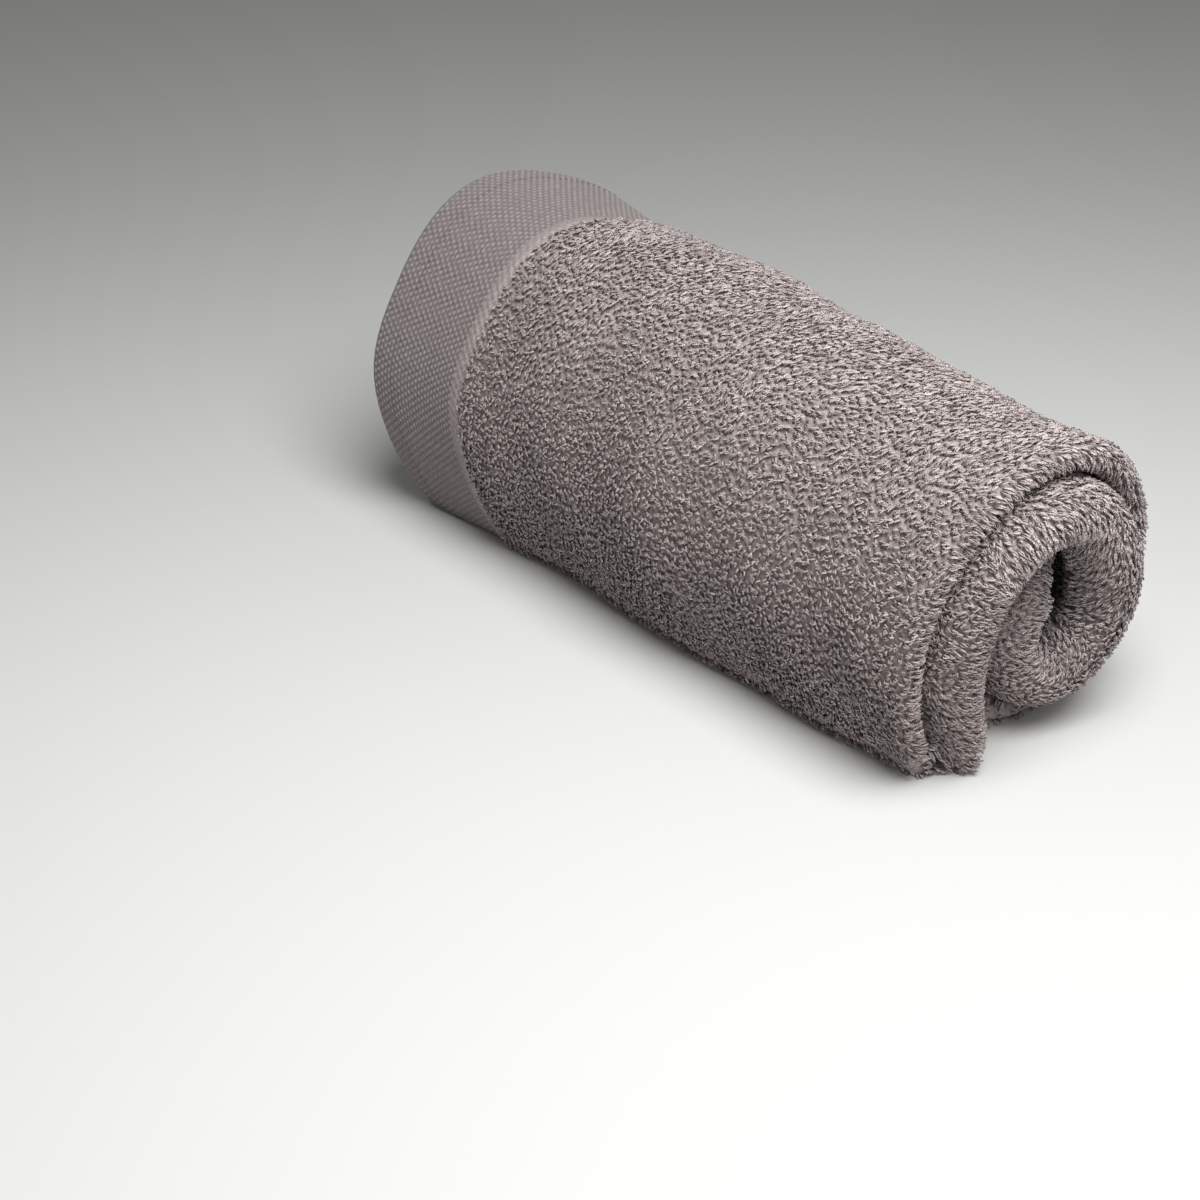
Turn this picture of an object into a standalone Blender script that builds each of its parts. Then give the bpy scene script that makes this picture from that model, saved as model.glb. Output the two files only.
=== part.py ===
"""Rolled bath towel: one folded terry towel wound into a loose roll that lies on its side.

The towel is folded four deep along its length, so the slab that is wound has two looped folds
side by side at its near end (+X) and two free hems with one fold between them at its far end (-X).
All lengths are in metres, +Z is up, and the origin is under the middle of the roll.
"""
from collections import namedtuple
from math import cos, pi, radians, sin

import bmesh
import bpy
import numpy as np

# Driving dimensions
LAYER = 0.0070                # one layer of terry, its pile pressed by the fold
SLAB = 4 * LAYER              # thickness of the folded towel
FAR_X = -0.1765               # where the outer hem ends
NEAR_X = 0.1790               # the furthest reach of the looped folds
CENTRE_Y_NEAR = 0.0300        # the spiral's centre at the near end
CENTRE_Y_FAR = 0.0175
CENTRE_Z = 0.0670
WIDER = 1.07                  # how much wider and taller the far end is than the near end
TALLER = 1.17
FLOOR_PRESS = 0.0012          # how far the underside is pressed flat
LIP_GROOVE = 0.0030           # gap between the two looped folds at their mouth
LIP_GROOVE_DEPTH = 0.013
PLUMP_RUN = 0.030             # stretch over which the inner fold swells
BAND_WIDTH = 0.062            # woven border beside the hem
BAND_STEP = 0.0020            # how far the pile stands above the border
HEM_HALF = 0.0026             # half the thickness of a hem
HEM_GROOVE = 0.0026
HEM_GROOVE_DEPTH = 0.016
INNER_HEM_BACK = 0.004        # how far the inner hem lies behind the outer one
MIDDLE_FOLD_BACK = 0.007      # and the fold between the two hems
HEM_FLARE = 0.0025            # how far the outer hem opens out
FLARE_FROM = 0.15             # height in the slab, as a share of its thickness, where the flare starts
FLARE_OVER = 0.25             # and the share over which it grows
END_ROUNDING = 0.012          # stretch of each cut end over which the slab grows to its thickness
END_FULLNESS = 0.62           # share of its thickness that the slab has at a cut end

# Resolution
STATION_STEP = 0.0072
ARC_STEPS = 6
SKIN_STEPS = 8
DENSE_STEPS = 1600
SAME_POINT = 0.00002          # points nearer than this are joined
SMOOTH_ANGLE = 50.0           # degrees between faces that still shade as one

TERRY_COLOUR = (0.30, 0.25, 0.245, 1.0)
TERRY_ROUGHNESS = 0.95

# The winding, read from the toe on the floor inwards, at the near end. The turn angle starts straight
# down and goes up the -Y side. The radius is that of the slab's middle, where the two folds meet. Then
# come how far the outer and inner folds reach, how thick the inner one swells, how far the far end lies
# from FAR_X, and how much further out the far end and the middle stand.
Turn = namedtuple("Turn", "angle radius outer_lip inner_lip plump far_shift far_more mid_more")
WINDING = (
    Turn(35.6, 0.0822, 0.1520, 0.1640, 0.0200, 0.004, 0.0020, 0.0000),
    Turn(52.0, 0.0762, 0.1560, 0.1670, 0.0240, 0.002, 0.0040, 0.0000),
    Turn(73.0, 0.0743, 0.1610, 0.1710, 0.0280, 0.000, 0.0050, 0.0000),
    Turn(90.0, 0.0750, 0.1640, 0.1740, 0.0290, -0.004, 0.0030, 0.0000),
    Turn(115.0, 0.0732, 0.1670, 0.1770, 0.0280, -0.002, 0.0005, 0.0000),
    Turn(145.0, 0.0668, 0.1680, 0.1790, 0.0260, 0.000, 0.0065, 0.0005),
    Turn(180.0, 0.0553, 0.1670, 0.1790, 0.0270, 0.001, 0.0035, 0.0010),
    Turn(214.0, 0.0446, 0.1630, 0.1780, 0.0315, 0.002, 0.0100, 0.0030),
    Turn(253.0, 0.0420, 0.1590, 0.1765, 0.0335, 0.003, 0.0060, 0.0030),
    Turn(285.0, 0.0447, 0.1560, 0.1740, 0.0315, 0.004, 0.0020, 0.0015),
    Turn(321.0, 0.0490, 0.1520, 0.1710, 0.0290, 0.006, 0.0000, 0.0000),
    Turn(349.0, 0.0530, 0.1480, 0.1680, 0.0290, 0.007, 0.0000, 0.0000),
    Turn(373.0, 0.0500, 0.1460, 0.1650, 0.0275, 0.008, 0.0000, 0.0000),
    Turn(399.0, 0.0425, 0.1450, 0.1610, 0.0280, 0.009, 0.0000, 0.0000),
    Turn(424.0, 0.0345, 0.1440, 0.1610, 0.0340, 0.010, 0.0000, 0.0000),
    Turn(460.0, 0.0285, 0.1430, 0.1610, 0.0400, 0.011, 0.0000, 0.0000),
    Turn(505.0, 0.0262, 0.1420, 0.1600, 0.0340, 0.012, 0.0000, 0.0000),
    Turn(549.0, 0.0230, 0.1400, 0.1560, 0.0240, 0.013, 0.0000, 0.0000),
    Turn(577.0, 0.0172, 0.1380, 0.1500, 0.0180, 0.014, 0.0000, 0.0000),
)

# Soft unevenness of the skin: waves along the roll and around it
Wave = namedtuple("Wave", "height along around start")
WAVES = (
    Wave(0.0011, 31.0, 9.0, 0.4),
    Wave(0.0008, 57.0, -21.0, 2.1),
    Wave(0.0005, 97.0, 35.0, 4.0),
)


def smooth_through(keys, values, wanted):
    """Catmull-Rom curve through the rows of a table."""
    keys = np.asarray(keys, float)
    values = np.asarray(values, float)
    slopes = np.gradient(values, keys)
    row = np.clip(np.searchsorted(keys, wanted, side="right") - 1, 0, len(keys) - 2)
    span = keys[row + 1] - keys[row]
    t = (wanted - keys[row]) / span
    start = values[row] * (2 * t**3 - 3 * t**2 + 1) + slopes[row] * span * (t**3 - 2 * t**2 + t)
    end = values[row + 1] * (3 * t**2 - 2 * t**3) + slopes[row + 1] * span * (t**3 - t**2)
    return start + end


def stations():
    """Even steps along the slab's middle line: its place, its outward direction and the table's columns."""
    angles = [row.angle for row in WINDING]
    dense = np.linspace(angles[0], angles[-1], DENSE_STEPS)
    radius = smooth_through(angles, [row.radius for row in WINDING], dense)
    turn = np.radians(dense)
    y = -radius * np.sin(turn)
    z = CENTRE_Z - radius * np.cos(turn)
    length = np.concatenate([[0.0], np.cumsum(np.hypot(np.diff(y), np.diff(z)))])
    count = round(length[-1] / STATION_STEP) + 1
    along = np.linspace(0.0, length[-1], count)
    tangent_y = np.interp(along, length, np.gradient(y, length))
    tangent_z = np.interp(along, length, np.gradient(z, length))
    size = np.hypot(tangent_y, tangent_z)
    columns = {
        name: np.interp(along, length, smooth_through(angles, [getattr(row, name) for row in WINDING], dense))
        for name in ("outer_lip", "inner_lip", "plump", "far_shift", "far_more", "mid_more")
    }
    columns["along"] = along
    columns["left"] = length[-1] - along
    columns["y"] = np.interp(along, length, y)
    columns["z"] = np.interp(along, length, z)
    columns["out_y"] = -tangent_z / size
    columns["out_z"] = tangent_y / size
    return [dict(zip(columns, values)) for values in zip(*columns.values())]


def end_fullness(station):
    """How much of its full thickness the slab has here: less beside the two cut ends."""
    nearest = min(station["along"], station["left"])
    reach = min(1.0, nearest / END_ROUNDING)
    return END_FULLNESS + (1.0 - END_FULLNESS) * sin(reach * pi / 2)


def lip(tip_x, middle, half, facing):
    """A half round fold or hem. facing is 1 at the near end and -1 at the far end."""
    points = []
    for step in range(ARC_STEPS + 1):
        turn = pi / 2 - pi * step / ARC_STEPS
        points.append((tip_x - facing * half + facing * half * cos(turn), middle + facing * half * sin(turn)))
    return points


def eased(value):
    """Nought to one with a soft start and end."""
    value = min(1.0, max(0.0, value))
    return value * value * (3.0 - 2.0 * value)


def skin(start_x, end_x, height):
    """Points along one face of the slab, strictly between its two ends. height is a function of x."""
    points = []
    for step in range(1, SKIN_STEPS):
        x = start_x + (end_x - start_x) * step / SKIN_STEPS
        points.append((x, height(x)))
    return points


def outline(station):
    """The slab's closed outline across the towel: distance along the roll and height off its middle."""
    far = FAR_X + station["far_shift"]
    outer_half = SLAB / 4 - LIP_GROOVE / 4
    inner_half = station["plump"] / 2 - LIP_GROOVE / 4
    outer_start = station["outer_lip"] - outer_half
    inner_start = station["inner_lip"] - inner_half
    groove = min(outer_start, inner_start) - LIP_GROOVE_DEPTH
    middle_half = LAYER - HEM_GROOVE / 2
    border_top = SLAB / 2 - BAND_STEP
    hem_middle = border_top - HEM_HALF
    border_middle = far + BAND_WIDTH / 2
    pile_start = far + BAND_WIDTH
    border_end = pile_start - BAND_STEP

    def inner_height(x):
        swell = eased(1.0 - (inner_start - x) / PLUMP_RUN)
        return -SLAB / 2 - (station["plump"] - SLAB / 2) * swell

    def outer_height(x):
        return SLAB / 2

    points = [(border_middle, border_top), (border_end, border_top), (pile_start, SLAB / 2)]
    points += skin(pile_start, outer_start, outer_height)
    points += lip(station["outer_lip"], SLAB / 2 - outer_half, outer_half, 1)
    points += [(groove, LIP_GROOVE / 4), (groove, -LIP_GROOVE / 4)]
    points += lip(station["inner_lip"], inner_half - station["plump"], inner_half, 1)
    points += skin(inner_start, pile_start, inner_height)
    points += [(pile_start, -SLAB / 2), (border_end, -border_top), (border_middle, -border_top)]
    points += lip(far + INNER_HEM_BACK, -hem_middle, HEM_HALF, -1)
    points += [(far + HEM_GROOVE_DEPTH, -middle_half - HEM_GROOVE / 2)]
    points += lip(far + MIDDLE_FOLD_BACK, 0.0, middle_half, -1)
    points += [(far + HEM_GROOVE_DEPTH, middle_half + HEM_GROOVE / 2)]
    points += lip(far, hem_middle, HEM_HALF, -1)
    return points


def unevenness(x, along):
    """Small rise or fall of the slab's middle line."""
    return sum(w.height * sin(w.along * x + w.around * along + w.start) for w in WAVES)


def place(station, x, height):
    """From the slab's own section to the wound roll."""
    near = (x - FAR_X) / (NEAR_X - FAR_X)
    toward_hem = eased((FAR_X + BAND_WIDTH - x) / BAND_WIDTH)
    flare = HEM_FLARE * toward_hem * eased((height / SLAB - FLARE_FROM) / FLARE_OVER)
    wider = station["far_more"] * (1.0 - near) + station["mid_more"] * 4.0 * near * (1.0 - near)
    height = height * end_fullness(station) + flare + wider + unevenness(x, station["along"])
    middle_y = CENTRE_Y_FAR + (CENTRE_Y_NEAR - CENTRE_Y_FAR) * near
    y = middle_y + (WIDER + (1.0 - WIDER) * near) * station["y"] + height * station["out_y"]
    z = (TALLER + (1.0 - TALLER) * near) * (station["z"] - SLAB / 2) + height * station["out_z"]
    return (x, y, max(z + SLAB / 2 - FLOOR_PRESS, 0.0))


def rolled_towel(collection):
    """The wound slab, a loft whose sections change along the spiral."""
    path = stations()
    sections = [[place(station, x, height) for x, height in outline(station)] for station in path]
    ring = len(sections[0])
    mesh = bpy.data.meshes.new("rolled_towel")
    bm = bmesh.new()
    rows = [[bm.verts.new(point) for point in section] for section in sections]
    for row, following in zip(rows, rows[1:]):
        for j in range(ring):
            k = (j + 1) % ring
            bm.faces.new((row[j], row[k], following[k], following[j]))
    bm.faces.new(rows[0])
    bm.faces.new(rows[-1])
    bmesh.ops.remove_doubles(bm, verts=bm.verts, dist=SAME_POINT)
    bmesh.ops.triangulate(bm, faces=bm.faces)
    bmesh.ops.recalc_face_normals(bm, faces=bm.faces)
    bm.to_mesh(mesh)
    bm.free()
    towel = bpy.data.objects.new("rolled_towel", mesh)
    collection.objects.link(towel)
    towel.data.materials.append(terry())
    mesh.shade_smooth()
    mesh.set_sharp_from_angle(angle=radians(SMOOTH_ANGLE))
    return towel


def terry():
    """Mauve-grey cotton terry."""
    material = bpy.data.materials.new("terry_cotton")
    material.use_nodes = True
    shader = material.node_tree.nodes["Principled BSDF"]
    shader.inputs["Base Color"].default_value = TERRY_COLOUR
    shader.inputs["Roughness"].default_value = TERRY_ROUGHNESS
    shader.inputs["Metallic"].default_value = 0.0
    return material


def stand_in_frame(towel):
    """Moves the finished mesh so that the origin is under the middle of its box."""
    places = np.array([vertex.co for vertex in towel.data.vertices])
    middle = (places.max(axis=0) + places.min(axis=0)) / 2
    for vertex in towel.data.vertices:
        vertex.co.x -= middle[0]
        vertex.co.y -= middle[1]


def main():
    for old in list(bpy.data.objects):
        bpy.data.objects.remove(old, do_unlink=True)
    collection = bpy.data.collections.new("rolled_bath_towel")
    bpy.context.scene.collection.children.link(collection)
    towel = rolled_towel(collection)
    stand_in_frame(towel)


main()
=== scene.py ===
"""Rolled bath towel: folded terry cloth wound on its side, with its pile, its woven borders and its hems."""

from collections import namedtuple
from math import cos, pi, radians, sin
from types import SimpleNamespace

import bpy
import numpy as np
from bpy.props import FloatProperty, FloatVectorProperty, IntProperty, PointerProperty
from mathutils import Matrix, Vector


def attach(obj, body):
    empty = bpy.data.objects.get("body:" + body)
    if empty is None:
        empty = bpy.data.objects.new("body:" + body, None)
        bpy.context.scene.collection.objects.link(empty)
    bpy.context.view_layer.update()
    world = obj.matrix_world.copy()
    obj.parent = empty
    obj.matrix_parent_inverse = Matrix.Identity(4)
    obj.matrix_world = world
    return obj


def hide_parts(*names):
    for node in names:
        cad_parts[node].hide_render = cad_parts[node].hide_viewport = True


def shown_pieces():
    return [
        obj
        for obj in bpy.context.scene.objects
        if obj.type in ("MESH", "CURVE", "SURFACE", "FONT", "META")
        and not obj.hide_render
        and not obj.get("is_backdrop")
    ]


bl_info = {
    "name": "Rolled bath towel",
    "version": (1, 0, 0),
    "blender": (4, 5, 0),
    "location": "3D View > Sidebar > Towel",
    "description": "A folded terry towel wound into a roll, with its pile, woven border and hem",
    "category": "Object",
}

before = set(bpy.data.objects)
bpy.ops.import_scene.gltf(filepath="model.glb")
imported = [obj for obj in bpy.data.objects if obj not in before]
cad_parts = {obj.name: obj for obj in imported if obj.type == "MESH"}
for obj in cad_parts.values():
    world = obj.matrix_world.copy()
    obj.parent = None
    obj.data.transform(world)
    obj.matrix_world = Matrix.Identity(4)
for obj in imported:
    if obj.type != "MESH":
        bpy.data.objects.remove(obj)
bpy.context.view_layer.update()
NODE = "rolled_towel"

# The winding's sizes in metres, the same as the solid's
LAYER = 0.0070              # one layer of terry, its pile pressed by the fold
SLAB = 4 * LAYER
FAR_X = -0.1765             # where the outer hem ends
NEAR_X = 0.1790             # the furthest reach of the looped folds
CENTRE_Y_NEAR = 0.0300      # the winding's centre at the near end
CENTRE_Y_FAR = 0.0175       # and at the far end
CENTRE_Z = 0.0670
WIDER = 1.07                # how much wider and taller the far end is than the near end
TALLER = 1.17
FLOOR_PRESS = 0.0012        # how far the roll's weight presses its cloth flat
LIP_GROOVE = 0.0030         # gap between the two looped folds at their mouth
PLUMP_RUN = 0.030           # stretch over which the inner fold swells
BAND_WIDTH = 0.062          # woven border beside a hem
BAND_STEP = 0.0020          # how far the pile stands above the border
INNER_HEM_BACK = 0.004      # how far the inner hem and the middle fold lie behind the outer hem
MIDDLE_FOLD_BACK = 0.007
HEM_GROOVE = 0.0026         # gap between a hem and the middle fold
HEM_FLARE = 0.0025          # how far the outer hem stands out
FLARE_FROM = 0.15           # share of the slab's thickness where the flare starts
FLARE_OVER = 0.25           # and over which it grows
END_ROUNDING = 0.012        # stretch over which both ends of the winding are rounded
END_FULLNESS = 0.62         # and the slab's thickness there, as a share
DENSE_STEPS = 1600          # fine steps in which the winding's length is measured
LAST_CELL = 1.001           # keeps a place on a grid inside its last cell
SHIFT_X = 0.0007390         # puts the origin under the middle of the solid's box
SHIFT_Y = -0.0029878

Turn = namedtuple("Turn", "angle radius outer_lip inner_lip plump far_shift far_more mid_more")
WINDING = (
    Turn(35.6, 0.0822, 0.1520, 0.1640, 0.0200, 0.004, 0.0020, 0.0000),
    Turn(52.0, 0.0762, 0.1560, 0.1670, 0.0240, 0.002, 0.0040, 0.0000),
    Turn(73.0, 0.0743, 0.1610, 0.1710, 0.0280, 0.000, 0.0050, 0.0000),
    Turn(90.0, 0.0750, 0.1640, 0.1740, 0.0290, -0.004, 0.0030, 0.0000),
    Turn(115.0, 0.0732, 0.1670, 0.1770, 0.0280, -0.002, 0.0005, 0.0000),
    Turn(145.0, 0.0668, 0.1680, 0.1790, 0.0260, 0.000, 0.0065, 0.0005),
    Turn(180.0, 0.0553, 0.1670, 0.1790, 0.0270, 0.001, 0.0035, 0.0010),
    Turn(214.0, 0.0446, 0.1630, 0.1780, 0.0315, 0.002, 0.0100, 0.0030),
    Turn(253.0, 0.0420, 0.1590, 0.1765, 0.0335, 0.003, 0.0060, 0.0030),
    Turn(285.0, 0.0447, 0.1560, 0.1740, 0.0315, 0.004, 0.0020, 0.0015),
    Turn(321.0, 0.0490, 0.1520, 0.1710, 0.0290, 0.006, 0.0000, 0.0000),
    Turn(349.0, 0.0530, 0.1480, 0.1680, 0.0290, 0.007, 0.0000, 0.0000),
    Turn(373.0, 0.0500, 0.1460, 0.1650, 0.0275, 0.008, 0.0000, 0.0000),
    Turn(399.0, 0.0425, 0.1450, 0.1610, 0.0280, 0.009, 0.0000, 0.0000),
    Turn(424.0, 0.0345, 0.1440, 0.1610, 0.0340, 0.010, 0.0000, 0.0000),
    Turn(460.0, 0.0285, 0.1430, 0.1610, 0.0400, 0.011, 0.0000, 0.0000),
    Turn(505.0, 0.0262, 0.1420, 0.1600, 0.0340, 0.012, 0.0000, 0.0000),
    Turn(549.0, 0.0230, 0.1400, 0.1560, 0.0240, 0.013, 0.0000, 0.0000),
    Turn(577.0, 0.0172, 0.1380, 0.1500, 0.0180, 0.014, 0.0000, 0.0000),
)
# The skin's slow unevenness
Wave = namedtuple("Wave", "height along around start")
WAVES = (
    Wave(0.0011, 31.0, 9.0, 0.4),
    Wave(0.0008, 57.0, -21.0, 2.1),
    Wave(0.0005, 97.0, 35.0, 4.0),
)
# The skin at the back is drawn in beside the hem and full beyond it. The first row is the share of the way
# from the far end to the near end, and the second how far the skin stands out there
DRAWN_AT = (0.00, 0.10, 0.17, 0.25, 0.35, 0.45)
DRAWN_RISE = (-0.0125, -0.0040, 0.0030, 0.0036, 0.0018, 0.0)
DRAWN_TURN = 232.0          # turn angle where it is greatest
DRAWN_WIDTH = 36.0          # and the turn over which it fades on both sides

# The cloth
STATIONS = 96               # steps of the cloth along its winding
CLOTH = 0.0026              # base cloth with the pressed roots of its pile
MIDDLE = LAYER / 2          # depth of the cloth's middle under the pile's tips
HEM_BEND = 0.00145          # radius of the hem's fold
HEM_FOLD = 0.015            # how much cloth the hem folds under
LAID_DEPTH = 0.0022         # lowest place of the cloth's middle over the floor
INNER_LAYER_EASE = 0.050    # stretch over which the inner layers settle on each other

# The pile
MID_PILE = 0.0010           # depth under the tips at which loops are spaced out
GROOVE_PILE = 0.011         # how far the pile is shown into the groove between the folds
CORE_PILE = 0.050           # down the inside of the roll
LIP_FACE = 0.018            # back from the outer fold, where the next turn covers the rest
MIDDLE_FACE = 0.010         # and in from the fold between the hems
OUTER_ANGLE = 398.0         # past this turn the outer face is covered
UNDER_SHARE = 0.45          # share of the loops kept where the roll lies on the floor
UNDER_HEIGHT = 0.012        # loops whose roots are lower are pressed by the roll's weight
PRESSED_REACH = 0.5         # length of the pressed loops, as a share
LEAST_HEIGHT = 0.0002       # no yarn comes nearer to the floor
EDGE_BULGE = 0.0022         # how far the towel's sides are rounded
EDGE_STEPS = 60             # points of a side along the roll
EDGE_TURNS = 9              # and round it
TOE_CLOSED = 42.0           # turn angle up to which the crease between the folds is closed
TOE_OPEN = 62.0             # and from which it is open
TOE_CREASE = 0.014          # depth of the open crease
LOOP_JITTER = 0.75          # how far a loop strays from its place, as a share of the pitch
LOOP_LEAST = 0.82           # the smallest loop's share of the loop below
LOOP_SPREAD = 0.36          # and how much more the largest has
LOOP_WOBBLE = 0.00016       # how far the bends of a loop stray
YARN_LEAST = 0.85           # the thinnest yarn's share of the radius
YARN_SPREAD = 0.30          # and how much more the thickest has
TONE_SCATTER = 0.17         # how much single loops differ in tone
TONE_PATCHES = 0.13         # and the cloth from place to place
PATCH_SCALE = 1.7           # how much smaller those patches are than the bends of the lay
TONE_LIMITS = (0.02, 0.98)
TONE_DRIFT = 0.01           # change of tone round a yarn
MOST_LOOPS = 7200           # keeps each piece of pile under 200,000 triangles
YARN_SIDES = 3
# One loop of yarn, given in millimetres: towards its tip, sideways and up from the cloth
LOOP = np.array([
    (0.0, -0.25, -1.6), (2.0, -0.54, 0.85), (3.9, 0.05, 1.25), (2.2, 0.54, 0.75), (0.1, 0.25, -1.6),
]) / 1000.0
# Slow bends of the pile's lay over the cloth, with their radians per metre each way
Swirl = namedtuple("Swirl", "size x y z start")
SWIRLS = (
    Swirl(0.45, 61, 0, 38, 0.7),
    Swirl(0.35, -83, 97, 0, 2.2),
    Swirl(0.30, 143, 0, 171, -1.0),
    Swirl(0.25, 190, 260, 210, 0.0),
)

# The border's weave and its hem's seam
PLAIN_STRIP = 0.0034        # plain cloth between the weave and the pile
PAD_POINTS = 4              # points of a float each way
PAD_SUNK = 0.25             # how far its rim sinks into the cloth, as a share of the relief
PAD_TAPER = 0.30            # how much narrower its ends are
PAD_ROUNDING = 0.15         # and how much shorter its sides
FLOAT_WIDTH = 0.48          # half a float's width, as a share of a column
FLOAT_LENGTH = 0.44         # and half its length, as a share of the period
FLOAT_LEAST = 0.94          # the smallest float's share of those sizes
FLOAT_SPREAD = 0.12         # and how much more the largest has
FLOAT_SCATTER = 0.2         # how much single floats differ in tone
STITCH_BACK = 0.0125        # the hem's seam, from its edge
SEAM_YARN = 0.00018         # radius of its thread
# One stitch, given in millimetres: along the seam, sideways and up from the cloth
STITCH = np.array([(-1.5, 0.0, -0.3), (-1.1, 0.0, 0.22), (1.1, 0.0, 0.22), (1.5, 0.0, -0.3)]) / 1000.0
SEAM_TONE = (0.7, 0.05)     # tone at its start and how much more at its end
# its crown at its start and how much more at its end, which sets how much of the floats' painted rim shade
# the seam takes
SEAM_CROWN = (0.6, 0.3)

# Shades, as shares of the dyed colours; the roots, the ground cloth, the cloth under the floats and the
# floats' rims hold painted shade
PILE_TONES = ((0.0, 0.62), (0.5, 0.98), (1.0, 1.34))  # from the darkest loop's tone to the palest's
# painted shade at a loop's root, as a share of the dyed colour
PAINTED_ROOT_SHADE = 0.48
ROOT_SHADE_FADE = (0.05, 0.60)    # how far up a loop the painted shade of its root reaches
GROUND_SHADE_TONES = (0.45, 0.75)  # the cloth between the loops, darkened as painted shade
PLAIN_TONES = (0.84, 1.02)  # the border's plain strip
UNDER_FLOAT_SHADE_TONES = (0.52, 0.70)  # and under its floats, darkened as painted shade
FLOAT_TONES = ((0.0, 0.80), (1.0, 1.14))
# painted shade at a float's rim, where it sinks into the cloth
PAINTED_RIM_SHADE = 0.58
RIM_SHADE_FADE = (0.05, 0.80)     # how far up a float the painted shade of its rim reaches
STRIP_FADE = 0.0004         # half the width over which the plain strip becomes the weave
PILE_FADE = 0.0006          # and the ground cloth the border
MOTTLE = (0.3, 0.7)         # how sharp the cloth's mottle is
MOTTLE_SCALE = 900.0
TWIST_DEPTH = 0.00015       # depths of the fine reliefs
WEAVE_DEPTH = 0.00035
FLOAT_DEPTH = 0.00012
WEAVE_FUZZ = 2400.0         # scales of their fuzz
FLOAT_FUZZ = 3200.0
THREAD_SHARE = 0.6          # how strong the threads of a float are beside its fuzz

# The stage
FLOOR_SIZE = 12.0
FLOOR_SHADE_FADE = (-0.20, 0.70)  # distances behind the roll over which the floor darkens, as painted shade
SKY_COLOUR = (1.0, 1.0, 0.99, 1.0)
LIT_POINT = (0.0, 0.0, 0.08)  # where both lights are aimed
Light = namedtuple("Light", "name place size power")
LIGHTS = (
    Light("top_light", (0.45, -0.18, 0.95), 0.7, "top_light"),
    Light("near_end_light", (1.1, -0.35, 0.9), 0.9, "side_light"),
)


def smooth_through(keys, values, wanted):
    """Catmull-Rom curve through the rows of a table."""
    keys = np.asarray(keys, float)
    values = np.asarray(values, float)
    slopes = np.gradient(values, keys)
    row = np.clip(np.searchsorted(keys, wanted, side="right") - 1, 0, len(keys) - 2)
    span = keys[row + 1] - keys[row]
    t = (wanted - keys[row]) / span
    start = values[row] * (2 * t**3 - 3 * t**2 + 1) + slopes[row] * span * (t**3 - 2 * t**2 + t)
    end = values[row + 1] * (3 * t**2 - 2 * t**3) + slopes[row + 1] * span * (t**3 - t**2)
    return start + end


def eased(value):
    """Nought to one with a soft start and end."""
    value = np.clip(value, 0.0, 1.0)
    return value * value * (3.0 - 2.0 * value)


def unit(vectors):
    """The same directions, one long."""
    return vectors / np.maximum(np.linalg.norm(vectors, axis=-1, keepdims=True), 1e-12)


def winding_path(count):
    """Even steps along the slab's middle line. Each column of the table becomes a (count, 1) array."""
    keys = [row.angle for row in WINDING]
    dense = np.linspace(keys[0], keys[-1], DENSE_STEPS)
    radius = smooth_through(keys, [row.radius for row in WINDING], dense)
    turn = np.radians(dense)
    y = -radius * np.sin(turn)
    z = CENTRE_Z - radius * np.cos(turn)
    length = np.concatenate([[0.0], np.cumsum(np.hypot(np.diff(y), np.diff(z)))])
    along = np.linspace(0.0, length[-1], count)
    tangent_y = np.interp(along, length, np.gradient(y, length))
    tangent_z = np.interp(along, length, np.gradient(z, length))
    size = np.hypot(tangent_y, tangent_z)
    found = {
        name: np.interp(along, length, smooth_through(keys, [getattr(row, name) for row in WINDING], dense))
        for name in Turn._fields[2:]
    }
    found["angle"] = np.interp(along, length, dense)
    found["along"] = along
    found["left"] = length[-1] - along
    found["y"] = np.interp(along, length, y)
    found["z"] = np.interp(along, length, z)
    found["out_y"] = -tangent_z / size
    found["out_z"] = tangent_y / size
    return SimpleNamespace(**{name: values[:, None] for name, values in found.items()})


def steps_of(path, chosen):
    """The same path at some of its steps."""
    return SimpleNamespace(**{name: values[chosen] for name, values in vars(path).items()})


def place(path, x, height, lowest=0.0):
    """From the slab's own section to the wound roll. x and height are (steps, points) arrays."""
    near = (x - FAR_X) / (NEAR_X - FAR_X)
    toward_hem = eased((FAR_X + BAND_WIDTH - x) / BAND_WIDTH)
    flare = HEM_FLARE * toward_hem * eased((height / SLAB - FLARE_FROM) / FLARE_OVER)
    reach = np.minimum(1.0, np.minimum(path.along, path.left) / END_ROUNDING)
    fullness = END_FULLNESS + (1.0 - END_FULLNESS) * np.sin(reach * pi / 2)
    uneven = sum(w.height * np.sin(w.along * x + w.around * path.along + w.start) for w in WAVES)
    wider = path.far_more * (1.0 - near) + path.mid_more * 4.0 * near * (1.0 - near)
    drawn = smooth_through(DRAWN_AT, DRAWN_RISE, np.clip(near, DRAWN_AT[0], DRAWN_AT[-1]))
    drawn = drawn * eased(1.0 - np.abs(path.angle - DRAWN_TURN) / DRAWN_WIDTH)
    height = height * fullness + flare + uneven + wider + drawn
    middle_y = CENTRE_Y_FAR + (CENTRE_Y_NEAR - CENTRE_Y_FAR) * near
    y = middle_y + (WIDER + (1.0 - WIDER) * near) * path.y + height * path.out_y
    z = (TALLER + (1.0 - TALLER) * near) * (path.z - SLAB / 2) + height * path.out_z
    z = np.maximum(z + SLAB / 2 - FLOOR_PRESS, lowest)
    return np.stack([x + SHIFT_X + 0.0 * z, y + SHIFT_Y, z], axis=-1)


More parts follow.
